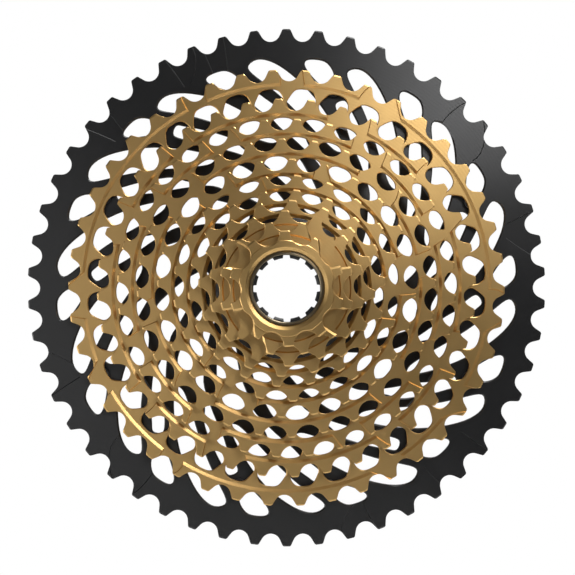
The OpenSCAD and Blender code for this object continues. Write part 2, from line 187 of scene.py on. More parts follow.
STEEL_NODES = ["sprocket_42t", "sprocket_36t", "sprocket_32t", "sprocket_28t", "sprocket_24t",
               "sprocket_21t", "sprocket_18t", "sprocket_16t", "sprocket_14t", "sprocket_12t"]


# ---------------------------------------------------------------- places from the frame
def front_of(node):
    """Local Z of a node's front, in millimetres."""
    return -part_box(node)[0].y / MM


def back_of(node):
    """Local Z of a node's back, in millimetres."""
    return -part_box(node)[1].y / MM


FRONTS = [front_of(node) for node in STEEL_NODES]
SPACING = (FRONTS[-1] - FRONTS[0]) / (len(FRONTS) - 1)
FIRST_Z = FRONTS[0] - BAND_T / 2 - SPACING
LAST = len(SPROCKETS) - 1
# From this sprocket on, the webs have no holes and reach in to the tube
SOLID_FROM = 9


def middle_z(i):
    """Height of the middle of sprocket i's tooth band."""
    return FIRST_Z + i * SPACING


def thickness(i):
    return ALLOY_T if i == 0 else BAND_T


def back_z(i):
    """Height of the back of sprocket i's tooth band."""
    return middle_z(i) - thickness(i) / 2


def front_z(i):
    """Height of the front of sprocket i's tooth band."""
    return middle_z(i) + thickness(i) / 2


def web_front_z(i):
    """Height of the front of a steel web, which is flush with the band's back."""
    return back_z(i) + WEB_T


def teeth(i):
    return SPROCKETS[i][0]


def tooth_clock(i):
    """Clock angle of one tooth."""
    return SPROCKETS[i][1]


def pitch_r(i):
    """Radius of the circle that the chain's pins lie on."""
    return CHAIN_PITCH / (2 * math.sin(math.pi / teeth(i)))


def root_r(i):
    """Radius of the bottom of a gap between teeth."""
    return pitch_r(i) - SEAT_R


def tip_r(i):
    return pitch_r(i) + SPROCKETS[i][2]


def step_width(i):
    return STEP_W if i < SOLID_FROM else SMALL_STEP_W


def web_inner_r(i):
    """Inner edge of a web, under the posts of the next sprocket or round the tube."""
    return root_r(i + 1) - WEB_LAP if i < SOLID_FROM else TUBE_R + TUBE_FIT


# ---------------------------------------------------------------- outlines
def world(p):
    """A local point in millimetres, in the row frame's metres."""
    return (p[0] * MM, -p[2] * MM, p[1] * MM)


def at(clock, r):
    """Flat point at a clock angle and radius."""
    a = math.radians(clock)
    return (r * math.sin(a), r * math.cos(a))


def turned(u, v, clock):
    """Flat point u across and v out along a clock angle."""
    a = math.radians(clock)
    return (u * math.cos(a) + v * math.sin(a), v * math.cos(a) - u * math.sin(a))


def ring(r, steps=ROUND_STEPS):
    """Flat circle round the axle."""
    return [at(360 * k / steps, r) for k in range(steps)]


def tooth_points(i, inset=0.0, tip_cut=0.0):
    """Outline of sprocket i, drawn in by inset along its seats and flanks."""
    wider, degrees = SPROCKETS[i][3:]
    angle = math.radians(degrees)
    middle = root_r(i) + SEAT_R + wider
    seat = SEAT_R + wider + inset
    tip = tip_r(i) - tip_cut
    u = seat * math.sin(angle)
    v = middle - seat * math.cos(angle)
    b = u * math.cos(angle) + v * math.sin(angle)
    flank = -b + math.sqrt(b * b - (u * u + v * v - tip * tip))
    short = max(flank - CORNER, MIN_FLANK)
    end = (u + short * math.cos(angle), v + short * math.sin(angle))
    full = (u + flank * math.cos(angle), v + flank * math.sin(angle))
    top_clock = math.degrees(math.atan2(*full) + CORNER / tip)
    points = []
    for k in range(teeth(i)):
        gap = tooth_clock(i) + (k + 0.5) * 360 / teeth(i)
        points.append(at(gap - top_clock, tip))
        points.append(turned(-end[0], end[1], gap))
        for s in range(SEAT_STEPS + 1):
            t = angle * (2 * s / SEAT_STEPS - 1)
            points.append(turned(seat * math.sin(t), middle - seat * math.cos(t), gap))
        points.append(turned(end[0], end[1], gap))
        points.append(at(gap + top_clock, tip))
    return points


def on_tip(k):
    """True for the points of tooth_points that lie at a tooth's tip."""
    return k % (SEAT_STEPS + 5) in (0, 1, SEAT_STEPS + 3, SEAT_STEPS + 4)


def spline(p0, p1, p2, p3, t):
    """Point of the smooth curve from p1 to p2, at the share t of the way."""
    return tuple(0.5 * (2 * b + (c - a) * t + (2 * a - 5 * b + 4 * c - d) * t * t
                        + (3 * b - a - 3 * c + d) * t ** 3)
                 for a, b, c, d in zip(p0, p1, p2, p3))


def smooth_points(points, turn, drop=0.0, steps=4):
    """Closed smooth loop through clock angles and radii, turned, its outer end drawn in by drop."""
    n = len(points)
    out = []
    for k in range(n):
        for s in range(steps):
            q = spline(points[k - 1], points[k], points[(k + 1) % n], points[(k + 2) % n], s / steps)
            out.append(at(q[0] + turn, q[1] - drop * max(0.0, q[1] - LOW_FROM)))
    return out


def grown(points, by):
    """A closed loop moved outwards by a distance, point by point."""
    area = sum(a[0] * b[1] - b[0] * a[1] for a, b in zip(points, points[1:] + points[:1]))
    side = 1 if area > 0 else -1
    out = []
    n = len(points)
    for k in range(n):
        before, after = points[k - 1], points[(k + 1) % n]
        t = Vector((after[0] - before[0], after[1] - before[1])).normalized()
        out.append((points[k][0] + side * t.y * by, points[k][1] - side * t.x * by))
    return out


def hole_points(i, k, grow=0.0, steps=28, power=2.4):
    """Outline of web hole k of sprocket i, a rounded oblong, grown all round."""
    if i == 1:
        turn = LARGE_HOLE_CLOCK + 360 * k / teeth(2)
        return grown(smooth_points(LARGE_HOLE, turn, steps=LARGE_HOLE_STEPS), grow)
    clock, width, depth = HOLES[i]
    top = root_r(i) - depth + grow
    bottom = root_r(i + 1) - HOLE_LAP - grow
    mid, half = (top + bottom) / 2, (top - bottom) / 2
    out = []
    for s in range(steps):
        a = 2 * math.pi * s / steps
        u = math.copysign(abs(math.cos(a)) ** (2 / power), math.cos(a))
        v = math.copysign(abs(math.sin(a)) ** (2 / power), math.sin(a))
        out.append(turned((width / 2 + grow) * u, mid + half * v, clock + 360 * k / teeth(i + 1)))
    return out


def row(points, z):
    """Flat points at one height."""
    return [(p[0], p[1], z) for p in points]


# ---------------------------------------------------------------- meshes
def mesh_object(name, verts, faces):
    """Object made from local points and faces, with its normals outwards."""
    mesh = bpy.data.meshes.new(name)
    mesh.from_pydata([world(v) for v in verts], [], faces)
    bm = bmesh.new()
    bm.from_mesh(mesh)
    bmesh.ops.recalc_face_normals(bm, faces=bm.faces)
    bm.to_mesh(mesh)
    bm.free()
    piece = bpy.data.objects.new(name, mesh)
    scene.collection.objects.link(piece)
    return piece


def join(faces, a, b, n):
    """Adds the quads between two closed rows of n points that start at a and b."""
    faces.extend((a + k, a + (k + 1) % n, b + (k + 1) % n, b + k) for k in range(n))


def skin(verts, faces, rows):
    """Adds closed rows of points, joined by quads, and returns where each row starts."""
    starts = []
    for points in rows:
        starts.append(len(verts))
        verts.extend(points)
    for a, b in zip(starts, starts[1:]):
        join(faces, a, b, len(rows[0]))
    return starts


def slab(name, bodies):
    """Solid plates. A body is the rows of its outline, from back to front, and of its holes."""
    verts, faces = [], []
    for outer, holes in bodies:
        walls = [outer, *holes]
        starts = [skin(verts, faces, rows) for rows in walls]
        for end in (0, -1):
            loops = [[Vector((p[0], p[1], 0)) for p in rows[end]] for rows in walls]
            index = [start[end] + k for start, rows in zip(starts, walls) for k in range(len(rows[0]))]
            faces.extend(tuple(index[k] for k in tri) for tri in tessellate_polygon(loops))
    return mesh_object(name, verts, faces)


def looped(name, rows):
    """Closed mesh of closed rows, the last joined to the first."""
    verts, faces = [], []
    starts = skin(verts, faces, rows)
    join(faces, starts[-1], starts[0], len(rows[0]))
    return mesh_object(name, verts, faces)


def lathe(name, profile):
    """Closed ring turned round the axle from a closed profile of (r, z) points."""
    return looped(name, [row(ring(r), z) for r, z in profile])


def combine(piece, other, operation):
    """Cuts or adds one closed mesh to another, and drops the other."""
    modifier = piece.modifiers.new(operation.lower(), "BOOLEAN")
    modifier.operation = operation
    modifier.solver = "MANIFOLD"
    modifier.object = other
    evaluated = piece.evaluated_get(bpy.context.evaluated_depsgraph_get())
    mesh = bpy.data.meshes.new_from_object(evaluated)
    piece.modifiers.clear()
    old = piece.data
    piece.data = mesh
    mesh.name = piece.name
    bpy.data.meshes.remove(old)
    bpy.data.objects.remove(other)
    return piece


def finish_piece(piece, body, material, nodes):
    """Shades a piece smooth up to its sharp edges, gives it a material and ties it to its nodes."""
    bm = bmesh.new()
    bm.from_mesh(piece.data)
    bmesh.ops.remove_doubles(bm, verts=bm.verts, dist=SAME_PLACE)
    bmesh.ops.recalc_face_normals(bm, faces=bm.faces)
    for face in bm.faces:
        face.smooth = True
    bm.to_mesh(piece.data)
    bm.free()
    piece.data.set_sharp_from_angle(angle=math.radians(SHARP_ANGLE))
    piece.data.materials.clear()
    piece.data.materials.append(material)
    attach(piece, body)
    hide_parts(*nodes)
    return piece


# ---------------------------------------------------------------- materials
# Texture scales, and the bumps' strength with their height in metres
PATCH_SCALE = 35.0
GRAIN_SCALE = 900.0
TURNING_SCALE = 260.0
RUB_GLINT_SCALE = 140.0
GRAIN_BUMP = (0.25, 0.00003)
TURNING_BUMP = (0.12, 0.00004)
# Edge wear and painted edge highlight: edges are lightened, partly as rubbed metal and partly as painted
# glints. How far it reaches in, and the cosines between which an edge counts as flat and sharp
WEAR_GLINT_REACH = 0.0004
WEAR_GLINT_FLAT = 0.995
WEAR_GLINT_SHARP = 0.94
WEAR_GLINT_PATCHES = (0.1, 1.6)
# Where a metal's plain colours begin and how wide they spread, and where the lighter edge colour is
# reached: rubbed metal and also a painted edge highlight
PLAIN_FROM = 0.15
PLAIN_SPREAD = 0.2
WORN_AND_GLINT_AT = 0.9


class Nodes:
    """Short calls for building a node material."""

    def __init__(self, name):
        self.material = bpy.data.materials.new(name)
        self.material.use_nodes = True
        self.tree = self.material.node_tree
        self.shader = self.tree.nodes["Principled BSDF"]

    def add(self, kind, **values):
        """Adds a node and sets its properties or, with _ for a space, its inputs."""
        node = self.tree.nodes.new(kind)
        for key, value in values.items():
            if hasattr(node, key):
                setattr(node, key, value)
            else:
                node.inputs[key.replace("_", " ")].default_value = value
        return node

    def link(self, a, b):
        self.tree.links.new(a, b)

    def position(self):
        """Each place on the piece, in its own coordinates."""
        return self.add("ShaderNodeTexCoord").outputs["Object"]

    def noise(self, vector, scale, detail=3.0, roughness=0.55):
        """Soft random patches, about 1 / scale metres wide."""
        node = self.add("ShaderNodeTexNoise", Scale=scale, Detail=detail, Roughness=roughness)
        self.link(vector, node.inputs["Vector"])
        return node.outputs["Fac"]

    def turning(self, vector, scale, distortion=0.4):
        """Concentric marks of a lathe tool round the axle."""
        node = self.add("ShaderNodeTexWave", wave_type="RINGS", rings_direction="Y", Scale=scale,
                        Distortion=distortion, Detail=2.0)
        self.link(vector, node.inputs["Vector"])
        return node.outputs["Fac"]

    def ramp(self, factor, stops):
        """Colours by factor, from stops of a place and a colour."""
        node = self.add("ShaderNodeValToRGB")
        elements = node.color_ramp.elements
        while len(elements) < len(stops):
            elements.new(0.5)
        for element, (place, colour) in zip(elements, stops):
            element.position = place
            element.color = colour
        self.link(factor, node.inputs["Fac"])
        return node.outputs["Color"]

    def spread(self, factor, low, high):
        """A factor from 0 to 1 turned into one from low to high."""
        node = self.add("ShaderNodeMapRange", To_Min=low, To_Max=high)
        self.link(factor, node.inputs["Value"])
        return node.outputs["Result"]

    def edge_wear_and_glint(self, vector, amount):
        """How worn and how brightly edge-lit each place is: patchy rubbing plus a painted edge highlight,
        within a narrow band along the edges.
        """
        # The band lightens edges: partly rubbed metal, partly a painted edge highlight
        rounded = self.add("ShaderNodeBevel", samples=4, Radius=WEAR_GLINT_REACH)
        plain = self.add("ShaderNodeNewGeometry")
        dot = self.add("ShaderNodeVectorMath", operation="DOT_PRODUCT")
        self.link(rounded.outputs["Normal"], dot.inputs[0])
        self.link(plain.outputs["True Normal"], dot.inputs[1])
        band = self.add("ShaderNodeMapRange", From_Min=WEAR_GLINT_FLAT, From_Max=WEAR_GLINT_SHARP, To_Min=0.0,
                        To_Max=amount)
        self.link(dot.outputs["Value"], band.inputs["Value"])
        patchy = self.add("ShaderNodeMath", operation="MULTIPLY")
        self.link(band.outputs["Result"], patchy.inputs[0])
        self.link(self.spread(self.noise(vector, RUB_GLINT_SCALE), *WEAR_GLINT_PATCHES), patchy.inputs[1])
        return patchy.outputs["Value"]

    def plus(self, a, b):
        """Sum of two factors."""
        node = self.add("ShaderNodeMath", operation="ADD")
        self.link(a, node.inputs[0])
        self.link(b, node.inputs[1])
        return node.outputs["Value"]

    def bump(self, height, strength, distance, normal=None):
        """Normal tilted by a height, on top of another normal if one is given."""
        node = self.add("ShaderNodeBump", Strength=strength, Distance=distance)
        self.link(height, node.inputs["Height"])
        if normal is not None:
            self.link(normal, node.inputs["Normal"])
        return node.outputs["Normal"]


def metal(name, colours, worn_and_glint, roughness, metallic, specular=0.5, brushed=0.5, wear_and_glint=0.25):
    """Satin metal: slow colour changes, rubbed edges lightened also as a painted edge highlight, fine
    turning marks and a slight grain.
    """
    n = Nodes(name)
    tangent = n.add("ShaderNodeTangent", direction_type="RADIAL", axis="Y")
    n.link(tangent.outputs["Tangent"], n.shader.inputs["Tangent"])
    n.shader.inputs["Anisotropic"].default_value = brushed
    n.shader.inputs["Anisotropic Rotation"].default_value = 0.25
    place = n.position()
    slow = n.noise(place, PATCH_SCALE, detail=4.0)
    fine = n.noise(place, GRAIN_SCALE, detail=2.0)
    rings = n.turning(place, TURNING_SCALE)
    stops = [(PLAIN_FROM + PLAIN_SPREAD * k / (len(colours) - 1), (*c, 1)) for k, c in enumerate(colours)]
    # Lighter colour along the edges: rubbed metal together with a painted edge highlight
    tone = n.plus(n.spread(slow, 0.0, 0.5), n.edge_wear_and_glint(place, wear_and_glint))
    n.link(n.ramp(tone, [*stops, (WORN_AND_GLINT_AT, (*worn_and_glint, 1))]), n.shader.inputs["Base Color"])
    n.link(n.spread(tone, *roughness), n.shader.inputs["Roughness"])
    n.shader.inputs["Metallic"].default_value = metallic
    n.shader.inputs["Specular IOR Level"].default_value = specular
    normal = n.bump(rings, *TURNING_BUMP)
    n.link(n.bump(fine, *GRAIN_BUMP, normal), n.shader.inputs["Normal"])
    return n.material


# Each worn colour is lighter than its metal: rubbed edges and a painted edge highlight
gold = metal("gold_steel", colours=[(0.56, 0.36, 0.135), (0.60, 0.385, 0.15), (0.64, 0.41, 0.16)],
             worn_and_glint=(0.82, 0.57, 0.27), roughness=(0.34, 0.44), metallic=1.0, brushed=0.35, wear_and_glint=0.13)
black = metal("black_alloy", colours=[(0.006, 0.006, 0.0065), (0.009, 0.009, 0.0095)],
              worn_and_glint=(0.03, 0.03, 0.03), roughness=(0.30, 0.40), metallic=0.0, specular=0.6, brushed=0.6)
tube_black = metal("black_tube", colours=[(0.012, 0.012, 0.012), (0.02, 0.02, 0.02)],
                   worn_and_glint=(0.05, 0.05, 0.05), roughness=(0.34, 0.46), metallic=0.0, specular=0.3)
pin_steel = metal("pin_steel", colours=[(0.42, 0.42, 0.42), (0.5, 0.5, 0.5)],
                  worn_and_glint=(0.62, 0.62, 0.62), roughness=(0.3, 0.44), metallic=1.0)
ring_steel = metal("ring_steel", colours=[(0.21, 0.17, 0.11), (0.27, 0.22, 0.145)],
                   worn_and_glint=(0.4, 0.34, 0.24), roughness=(0.3, 0.44), metallic=1.0)


# ---------------------------------------------------------------- sprockets
def tooth_rows(i, z0, z1, tip_depth):
    """Rows of a toothed wall: bevelled seats and flanks, deeper cuts at the tips in front."""
    full = tooth_points(i)
    shoulder = [(*p, z1 - (tip_depth if on_tip(k) else EDGE)) for k, p in enumerate(full)]
    return [row(tooth_points(i, EDGE, EDGE), z0), row(full, z0 + EDGE), shoulder,
            row(tooth_points(i, EDGE, TIP_CUT), z1)]


def bend(a, b, c, t):
    """Quadratic curve through a, b half way and c."""
    return a * (1 - t) * (1 - 2 * t) + 4 * b * t * (1 - t) + c * t * (2 * t - 1)


def ramp_body(first, second, radii, lean):
    """Outlines of a ramp at its floor and, leaning out by lean, at the top of its cutter."""
    steps = [(s / RAMP_STEPS, r) for s, r in enumerate(radii)]
    left = [(bend(*first, t), r) for t, r in steps]
    right = [(bend(*second, t), r) for t, r in reversed(steps)]
    start, width = left[-1][0], right[0][0] - left[-1][0]
    arc = [(start + width * s / RAMP_STEPS, radii[-1]) for s in range(1, RAMP_STEPS)]
    low = [at(c, r) for c, r in left + arc + right]
    high = [at(c - math.degrees(lean / r), r) for c, r in left]
    high += [at(c, r) for c, r in arc]
    high += [at(c + math.degrees(lean / r), r) for c, r in right]
    return low, high


def ramp_cutters(i, depth):
    """Wedges with sloping sides that mill the ramps of a sprocket down to a depth."""
    slope = RAMP_SLOPE if i < SOLID_FROM else SMALL_RAMP_SLOPE
    lean = slope * (1 + CLEAR / depth)
    inner = root_r(i) - STEP_IN - step_width(i) - (RUN_IN if i else ALLOY_RUN_IN)
    outer = tip_r(i) + CLEAR
    radii = [inner + (outer - inner) * s / RAMP_STEPS for s in range(RAMP_STEPS + 1)]
    bodies = []
    for sprocket, count, every, *edges in RAMPS:
        if sprocket != i:
            continue
        for k in range(count):
            clocks = [every * k + clock for clock in edges]
            low, high = ramp_body(clocks[:3], clocks[3:], radii, lean)
            bodies.append(([row(low, front_z(i) - depth), row(high, front_z(i) + CLEAR)], []))
    return slab("cutter", bodies) if bodies else None


def post_points(i, clock, grow=0.0):
    """Outline of one post, an oblong with cut corners, grown all round."""
    u = POST_W / 2 + grow
    lo = root_r(i) - POST_IN - grow
    hi = root_r(i) + POST_OUT + grow
    c = POST_CORNER
    corners = [(-u + c, lo), (u - c, lo), (u, lo + c), (u, hi - c), (u - c, hi), (-u + c, hi),
               (-u, hi - c), (-u, lo + c)]
    return [turned(x, y, clock) for x, y in corners]


def posts(i):
    """Posts behind the teeth of sprocket i, standing on the web behind it."""
    floor = web_front_z(i - 1) - POST_SINK
    top = back_z(i) + WELD
    bodies = []
    for k in range(teeth(i)):
        clock = tooth_clock(i) + 360 * k / teeth(i)
        foot, post = post_points(i, clock, FOOT_GROW), post_points(i, clock)
        bodies.append(([row(foot, floor), row(post, floor + FOOT_H), row(post, top)], []))
    return slab("posts", bodies)


def steel_plate(i):
    """Toothed plate with its bevelled web holes and the sloping step in front of the web."""
    z0, z1, web = back_z(i), front_z(i), web_front_z(i)
    rim = ring(web_inner_r(i))
    holes = [[row(rim, z0), row(rim, z1)]]
    if i < SOLID_FROM:
        for k in range(teeth(i + 1)):
            back, true, front = (hole_points(i, k, grow) for grow in (EDGE, 0, HOLE_EDGE))
            holes.append([row(back, z0), row(true, z0 + EDGE), row(true, web - HOLE_EDGE),
                          row(front, web), row(front, z1)])
    plate = slab(STEEL_NODES[i - 1] + "_piece", [(tooth_rows(i, z0, z1, TIP_DEPTH), holes)])
    step_r = root_r(i) - STEP_IN
    width = step_width(i)
    slope = width / (z1 - web)
    low, high = ring(step_r - width, FINE_STEPS), ring(step_r + slope * CLEAR, FINE_STEPS)
    cone = slab("cutter", [([row(low, web), row(high, z1 + CLEAR)], [])])
    combine(plate, cone, "DIFFERENCE")
    cutters = ramp_cutters(i, z1 - web)
    if cutters:
        combine(plate, cutters, "DIFFERENCE")
    return plate


def collar(i):
    """Solid ring behind a small sprocket, standing on the web behind it."""
    floor = web_front_z(i - 1)
    top = back_z(i) + WELD
    bore = TUBE_R + TUBE_FIT
    r = root_r(i) - STEP_IN
    return lathe("collar", [(bore, floor), (r, floor), (r, top), (bore, top)])


def steel_sprocket(i):
    """42T to 12T: the plate, with the posts or the collar that it stands on."""
    plate = steel_plate(i)
    if 1 < i <= SOLID_FROM:
        combine(plate, posts(i), "UNION")
    if i > SOLID_FROM:
        combine(plate, collar(i), "UNION")
    return finish_piece(plate, "cluster", gold, [STEEL_NODES[i - 1]])


# ---------------------------------------------------------------- smallest sprocket
FLANGE_R = 17.4
FLANGE_H = 0.9
FLANGE_EDGE = 0.25
FLANGE_LAP = 0.2
# Dips in the flange's edge: clock angle from the middle of a gap, and the share of the dip there
FLANGE_DIP = 0.95
DIPS = [(-11, 0), (-9.5, 0.12), (-8, 0.32), (-6, 0.6), (-4, 0.84), (-2, 0.96), (0, 1), (2, 0.96),
        (4, 0.84), (6, 0.6), (8, 0.32), (9.5, 0.12), (11, 0), (14.5, 0), (18, 0), (21.5, 0)]
# Mouth for the tube, a cone down to a counterbore that ends at a ledge
MOUTH_R = 15.0
MOUTH_H = 0.65
COUNTER_R = 13.8
CUTTER_R = 5
LEDGE = 0.15


def flange_points(inset):
    """Round outline of the flange, with a dip in front of each gap."""
    pitch = 360 / teeth(LAST)
    return [at(tooth_clock(LAST) + (k + 0.5) * pitch + clock, FLANGE_R - inset - share * FLANGE_DIP)
            for k in range(teeth(LAST)) for clock, share in DIPS]


def smallest_sprocket():
    """10T: tooth band, raised flange with the stepped mouth for the tube, and its collar."""
    z0, z1 = back_z(LAST), front_z(LAST)
    web = web_front_z(LAST)
    top = z1 + FLANGE_H
    bore = ring(TUBE_R + TUBE_FIT)
    rows = tooth_rows(LAST, z0, z1, SMALLEST_TIP_DEPTH)
    piece = slab("sprocket_10t_piece", [(rows, [[row(bore, z0), row(bore, z1)]])])
    combine(piece, ramp_cutters(LAST, z1 - web), "DIFFERENCE")
    combine(piece, collar(LAST), "UNION")
    inside = ring(TUBE_R + TUBE_FIT + FLANGE_LAP)
    full, drawn_in = flange_points(0), flange_points(FLANGE_EDGE)
    flange = slab("flange", [([row(full, web), row(full, top - FLANGE_EDGE), row(drawn_in, top)],
                              [[row(inside, web), row(inside, top)]])])
    combine(piece, flange, "UNION")
    ledge = z0 + LEDGE
    outer = 2 * MOUTH_R - COUNTER_R
    mouth = lathe("mouth", [(CUTTER_R, ledge), (COUNTER_R, ledge), (COUNTER_R, top - MOUTH_H),
                            (outer, top + MOUTH_H), (CUTTER_R, top + MOUTH_H)])
    combine(piece, mouth, "DIFFERENCE")
    return finish_piece(piece, "cluster", gold, ["sprocket_10t"])


# ---------------------------------------------------------------- alloy sprocket and hub
# Arms, raised in front of the rim's face, and the windows between them
ARM_R = root_r(2) - WEB_LAP
ARM_EXTRA = 1.0
ARM_SINK = 0.4
WINDOW_EDGE = 0.45
# Outside this radius the windows are bevelled in front too
BEVEL_FROM = ARM_R + 0.6
# The hole in the arms that the hub fills, and how far the hub laps over its edge
HUB_LAP = 3
ARM_HOLE_TOP = 9
# Hub: the flange that carries the arms, its cut front corner, and the barrel
HUB_R = 29.5
HUB_H = 13.0
HUB_EDGE = 0.4
SEAT_EDGE = 0.5
FLANGE_TOP = 4.2
CORNER_IN = 0.8
CORNER_DOWN = 0.6
BARREL_R = 22.5
# Curve of the shoulder: out from the barrel, up from the shoulder's top
SHOULDER_TOP = 7.5
SHOULDER = [(1.2, -0.9), (0.3, 0), (0, 1.0)]
# Driver: the plain bore, then the splines, with one groove as share of the pitch and radius
DRIVER_R = 18.9
DRIVER_L = 4.0
SPLINES = 12
SPLINE_R = 17.5
SPLINE_OUT = 18.6
GROOVE = [(-0.27, SPLINE_R - CLEAR), (-0.22, SPLINE_OUT), (-0.11, SPLINE_OUT), (0, SPLINE_OUT),
          (0.11, SPLINE_OUT), (0.22, SPLINE_OUT), (0.27, SPLINE_R - CLEAR)]
GROOVE_SINK = 0.01
# Drive pins, in holes through bosses, with a domed back and a slightly drawn-in front
PIN_R = 1.25
PIN_FIT = 0.02
PIN_RING_R = 79.7
PIN_CLOCK = tooth_clock(1) + 360 / teeth(1)
PIN_BITE = 0.6
PIN_STEPS = 32
BOSS_R = 2.3
DOME_H = 0.25
DOME = [(0.55, 0), (0.86, 0.35), (1, 1)]
PIN_FRONT = 0.8


def window_loops():
    """Outlines of all the windows, three to each arm of the spider."""
    for k in range(WINDOWS):
        turn = k * 360 / WINDOWS
        yield smooth_points(FORK, turn)
        yield smooth_points(SLOT, turn, LOW_DROP if k in LOW_SLOTS else 0.0)
        yield smooth_points(SMALL_HOLE, turn, LOW_DROP if k in LOW_HOLES else 0.0)


def radius(p):
    """Distance of a flat point from the axle."""
    return math.hypot(p[0], p[1])


def pegs(name, levels):
    """A round peg at each drive pin, through levels of (radius, height)."""
    bodies = []
    for k in range(WINDOWS):
        cx, cy = at(PIN_CLOCK + 360 * k / WINDOWS, PIN_RING_R)
        rows = [[(cx + x, cy + y, z) for x, y in ring(r, PIN_STEPS)] for r, z in levels]
        bodies.append((rows, []))
    return slab(name, bodies)


def alloy_plate():
    """Toothed plate of the 50T sprocket with its windows."""
    z0, z1 = back_z(0), front_z(0)
    windows = []
    for loop in window_loops():
        wide = grown(loop, WINDOW_EDGE)
        front = [w if radius(p) > BEVEL_FROM else p for w, p in zip(wide, loop)]
        windows.append([row(wide, z0), row(loop, z0 + WINDOW_EDGE), row(loop, z1 - WINDOW_EDGE),
                        row(front, z1)])
    return slab("sprocket_50t_piece", [(tooth_rows(0, z0, z1, ALLOY_TIP_DEPTH), windows)])


def arm_layer():
    """Raised front of the spider arms, inside the rim."""
    z0, z1 = front_z(0) - ARM_SINK, front_z(0) + ARM_EXTRA
    full, drawn_in = ring(ARM_R, FINE_STEPS), ring(ARM_R - ARM_EXTRA, FINE_STEPS)
    layer = slab("arms", [([row(full, z0), row(full, z1 - ARM_EXTRA), row(drawn_in, z1)], [])])
    bodies = []
    for loop in window_loops():
        wide = grown(loop, WINDOW_EDGE)
        bodies.append(([row(loop, z0 - CLEAR), row(loop, z1 - WINDOW_EDGE), row(wide, z1),
                        row(wide, z1 + CLEAR)], []))
    return combine(layer, slab("cutter", bodies), "DIFFERENCE")


def hub():
    """Flange, shoulder and barrel, round the driver's bore."""
    c = HUB_EDGE
    seat = [(DRIVER_R + c, 0), (HUB_R - SEAT_EDGE, 0), (HUB_R, SEAT_EDGE)]
    flange = [(HUB_R, FLANGE_TOP - CORNER_DOWN), (HUB_R - CORNER_IN, FLANGE_TOP)]
    shoulder = [(BARREL_R + out, SHOULDER_TOP + up) for out, up in SHOULDER]
    barrel = [(BARREL_R, HUB_H - c), (BARREL_R - c, HUB_H)]
    bore = [(SPLINE_R + c, HUB_H), (SPLINE_R, HUB_H - c), (SPLINE_R, DRIVER_L), (DRIVER_R, DRIVER_L),
            (DRIVER_R, c)]
    return lathe("hub", seat + flange + shoulder + barrel + bore)


def driver_grooves():
    """Cutters for the grooves between the driver's splines."""
    pitch = 360 / SPLINES
    bodies = []
    for k in range(SPLINES):
        points = [at((k + share) * pitch, r) for share, r in GROOVE]
        bodies.append(([row(points, DRIVER_L - GROOVE_SINK), row(points, HUB_H + CLEAR)], []))
    return slab("grooves", bodies)


def alloy_sprocket():
    """50T: plate, raised arms, hub with the driver's bore, and the bosses of the drive pins."""
    piece = alloy_plate()
    combine(piece, ramp_cutters(0, ALLOY_RAMP), "DIFFERENCE")
    opening = ring(HUB_R - HUB_LAP)
    combine(piece, arm_layer(), "UNION")
    combine(piece, slab("cutter", [([row(opening, -CLEAR), row(opening, ARM_HOLE_TOP)], [])]), "DIFFERENCE")
    combine(piece, hub(), "UNION")
    combine(piece, driver_grooves(), "DIFFERENCE")
    combine(piece, pegs("bosses", [(BOSS_R, front_z(0) - WELD), (BOSS_R, back_z(1))]), "UNION")
    hole_r = PIN_R + PIN_FIT
    combine(piece, pegs("pin_holes", [(hole_r, -CLEAR), (hole_r, back_z(1) + CLEAR)]), "DIFFERENCE")
    return finish_piece(piece, "cluster", black, ["sprocket_50t"])


def drive_pins():
    """The pins that fasten the alloy sprocket to the 42T one."""
    z0, z1 = back_z(0) + PIN_FIT, back_z(1) + PIN_BITE
    levels = [(PIN_R * share, z0 + DOME_H * up) for share, up in DOME]
    levels += [(PIN_R, z1 - DOME_H), (PIN_R * PIN_FRONT, z1)]
    pins = pegs("drive_pins_piece", levels)
    return finish_piece(pins, "cluster", pin_steel, ["drive_pins"])


# ---------------------------------------------------------------- lockring tube and its ring
# Play between the tube and the sprockets, then the tube's rear shoulder and its edges
GAP = 0.05
REAR_R = 14.7
REAR_EDGE = 0.35
SHOULDER_EDGE = 0.3
FRONT_EDGE = 0.22
# The front end, this far down, has the ring's bare steel and not the tube's black
BARE_FRONT = 0.3
# Tool socket behind a plain lip: notches and tips, with the tips' bevel, and the relief below
LIP_H = 1.2
LIP_EDGE = 0.2
NOTCH_R = 12.2
TOOL_R = 11.1
TOOL_DEPTH = 7.0
TOOL_EDGE = 0.6
TOOL_EDGE_H = 0.5
RELIEF_R = 12.5
RELIEF_H = 0.4
# How far apart in height two rows are that share a step's two corners
STEP_GAP = 0.05
# Corners of the socket within one pitch, by clock angle, and which of them are at a tip
TOOL_TEETH = 12
TOOL_FIRST = 14.5
SOCKET = [(-8.2, 1), (-4, 1), (0, 1), (4, 1), (8.2, 1), (9.6, 0), (12, 0), (15, 0), (18, 0), (20.4, 0)]
SOCKET_POINTS = [(TOOL_FIRST + 360 / TOOL_TEETH * k + clock, at_tip)
                 for k in range(TOOL_TEETH) for clock, at_tip in SOCKET]
# Thread: its crest is a wave this steep, cut off at 0 and 1
THREAD_R = 12.96
THREAD_DEPTH = 0.54
THREAD_PITCH = 1.0
THREAD_L = 11.0
THREAD_END = 0.6
THREAD_MOUTH = 0.1
TURN_STEPS = 8
CREST_SLOPE = 1.6
CREST_START = 0.2
# Retaining ring of square wire in the tube's groove
GROOVE_R = 12.75
RING_R = 13.5
RING_T = 1.0
RING_EDGE = 0.18
RING_SPLIT = 14.0
RING_STEPS = 120
RING_BACK = back_z(LAST) + LEDGE + GAP


